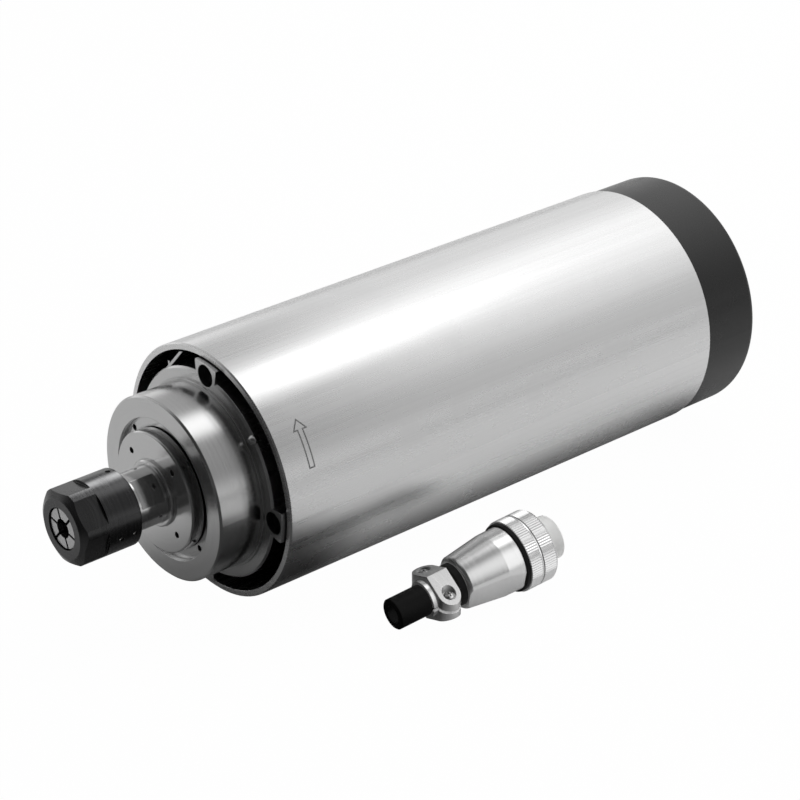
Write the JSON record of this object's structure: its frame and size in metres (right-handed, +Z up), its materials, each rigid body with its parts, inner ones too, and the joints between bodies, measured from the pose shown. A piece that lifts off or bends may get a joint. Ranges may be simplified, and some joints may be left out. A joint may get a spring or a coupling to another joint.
{
  "type": "motor spindle",
  "caption": "Air-cooled round motor spindle with a collet nose, ribbed motor body, fan cap and rear connector, with its loose cable plug beside it.",
  "frame": {"origin": "on the spindle axis at the front edge of the steel casing", "axes": "+Y along the spindle axis from the nose to the fan cap, +Z up; the spindle lies on its side as in the picture"},
  "size_m": [0.1124, 0.2603, 0.08],
  "materials": {
    "casing_steel": "brushed along the length, polished",
    "machined_steel": "turned",
    "screw_steel": "black oxide",
    "dark_aluminium": "dark anodised",
    "lamination": "varnished sheet steel",
    "copper": "enamelled copper wire",
    "bearing_steel": "ground and polished",
    "cast_aluminium": "machined casting",
    "lead_sleeve": "silicone sleeve",
    "cap_plastic": "moulded, satin",
    "nickel": "satin nickel plate",
    "insert_plastic": "moulded white",
    "contact_brass": "plated brass",
    "fan_plastic": "moulded",
    "cage_resin": "phenolic resin",
    "collet_steel": "ground",
    "black_oxide": "black oxide",
    "boot_rubber": "moulded rubber",
    "screw_nickel": "nickel plate"
  },
  "bodies": {
    "housing": {"outer_casing": "casing_steel", "front_bearing_housing": "machined_steel", "bearing_lock_ring": "machined_steel", "housing_screws": "screw_steel", "motor_housing": "dark_aluminium", "stator_core": "lamination", "stator_windings": "copper", "front_outer_races": "bearing_steel", "outer_race_spacer": "machined_steel", "rear_bearing_housing": "cast_aluminium", "rear_outer_races": "bearing_steel", "preload_spring": "bearing_steel", "motor_leads": "lead_sleeve", "fan_cap": "cap_plastic", "cap_screws": "screw_steel", "power_socket": "nickel", "socket_insert": "insert_plastic", "socket_pins": "contact_brass", "socket_screws": "screw_steel"},
    "spindle": {"spindle_shaft": "machined_steel", "dust_disc": "machined_steel", "front_inner_races": "bearing_steel", "inner_race_spacer": "machined_steel", "rotor_core": "lamination", "rotor_end_rings": "cast_aluminium", "rear_inner_races": "bearing_steel", "rear_lock_nut": "machined_steel", "cooling_fan": "fan_plastic", "fan_screw": "screw_steel"},
    "front_cage": {"front_balls": "bearing_steel", "front_ball_cages": "cage_resin"},
    "rear_cage": {"rear_balls": "bearing_steel", "rear_ball_cages": "cage_resin"},
    "collet": {"collet": "collet_steel"},
    "nut": {"collet_nut": "black_oxide", "extraction_ring": "collet_steel"},
    "plug": {"plug_backshell": "nickel", "plug_body": "nickel", "plug_lock_ring": "nickel", "plug_seal": "boot_rubber", "plug_insert": "insert_plastic", "plug_contacts": "contact_brass", "plug_boot": "boot_rubber", "upper_cable_clamp": "nickel", "lower_cable_clamp": "nickel", "clamp_screws": "screw_nickel"},
    "coupling_ring": {"plug_coupling_ring": "nickel"}
  },
  "joints": [
    {"name": "spindle_spin", "type": "hinge", "parent": "housing", "child": "spindle", "pos_m": [0, 0, 0], "axis": [0, 1, 0], "continuous": true},
    {"name": "front_cage_turn", "type": "hinge", "parent": "housing", "child": "front_cage", "pos_m": [0, 0.005, 0], "axis": [0, 1, 0], "continuous": true},
    {"name": "rear_cage_turn", "type": "hinge", "parent": "housing", "child": "rear_cage", "pos_m": [0, 0.1485, 0], "axis": [0, 1, 0], "continuous": true},
    {"name": "collet_draw", "type": "slide", "parent": "spindle", "child": "collet", "axis": [0, -1, 0], "range_m": [0, 0.00801]},
    {"name": "nut_turn", "type": "hinge", "parent": "collet", "child": "nut", "pos_m": [0, -0.042, 0], "axis": [0, -1, 0], "range_deg": [0, 2880]},
    {"name": "plug_lift", "type": "slide", "parent": "housing", "child": "plug", "axis": [0, 0, 1], "range_m": [0, 0.15]},
    {"name": "coupling_ring_turn", "type": "hinge", "parent": "plug", "child": "coupling_ring", "pos_m": [0.06067, 0.07466, -0.0277], "axis": [0.0798, 0.9913, 0.1045], "continuous": true}
  ],
  "couplings": [
    {"joint": "front_cage_turn", "follows": "spindle_spin", "ratio": 0.4042},
    {"joint": "rear_cage_turn", "follows": "spindle_spin", "ratio": 0.4023},
    {"joint": "collet_draw", "follows": "nut_turn", "m_per_rad": 0.00015915}
  ]
}
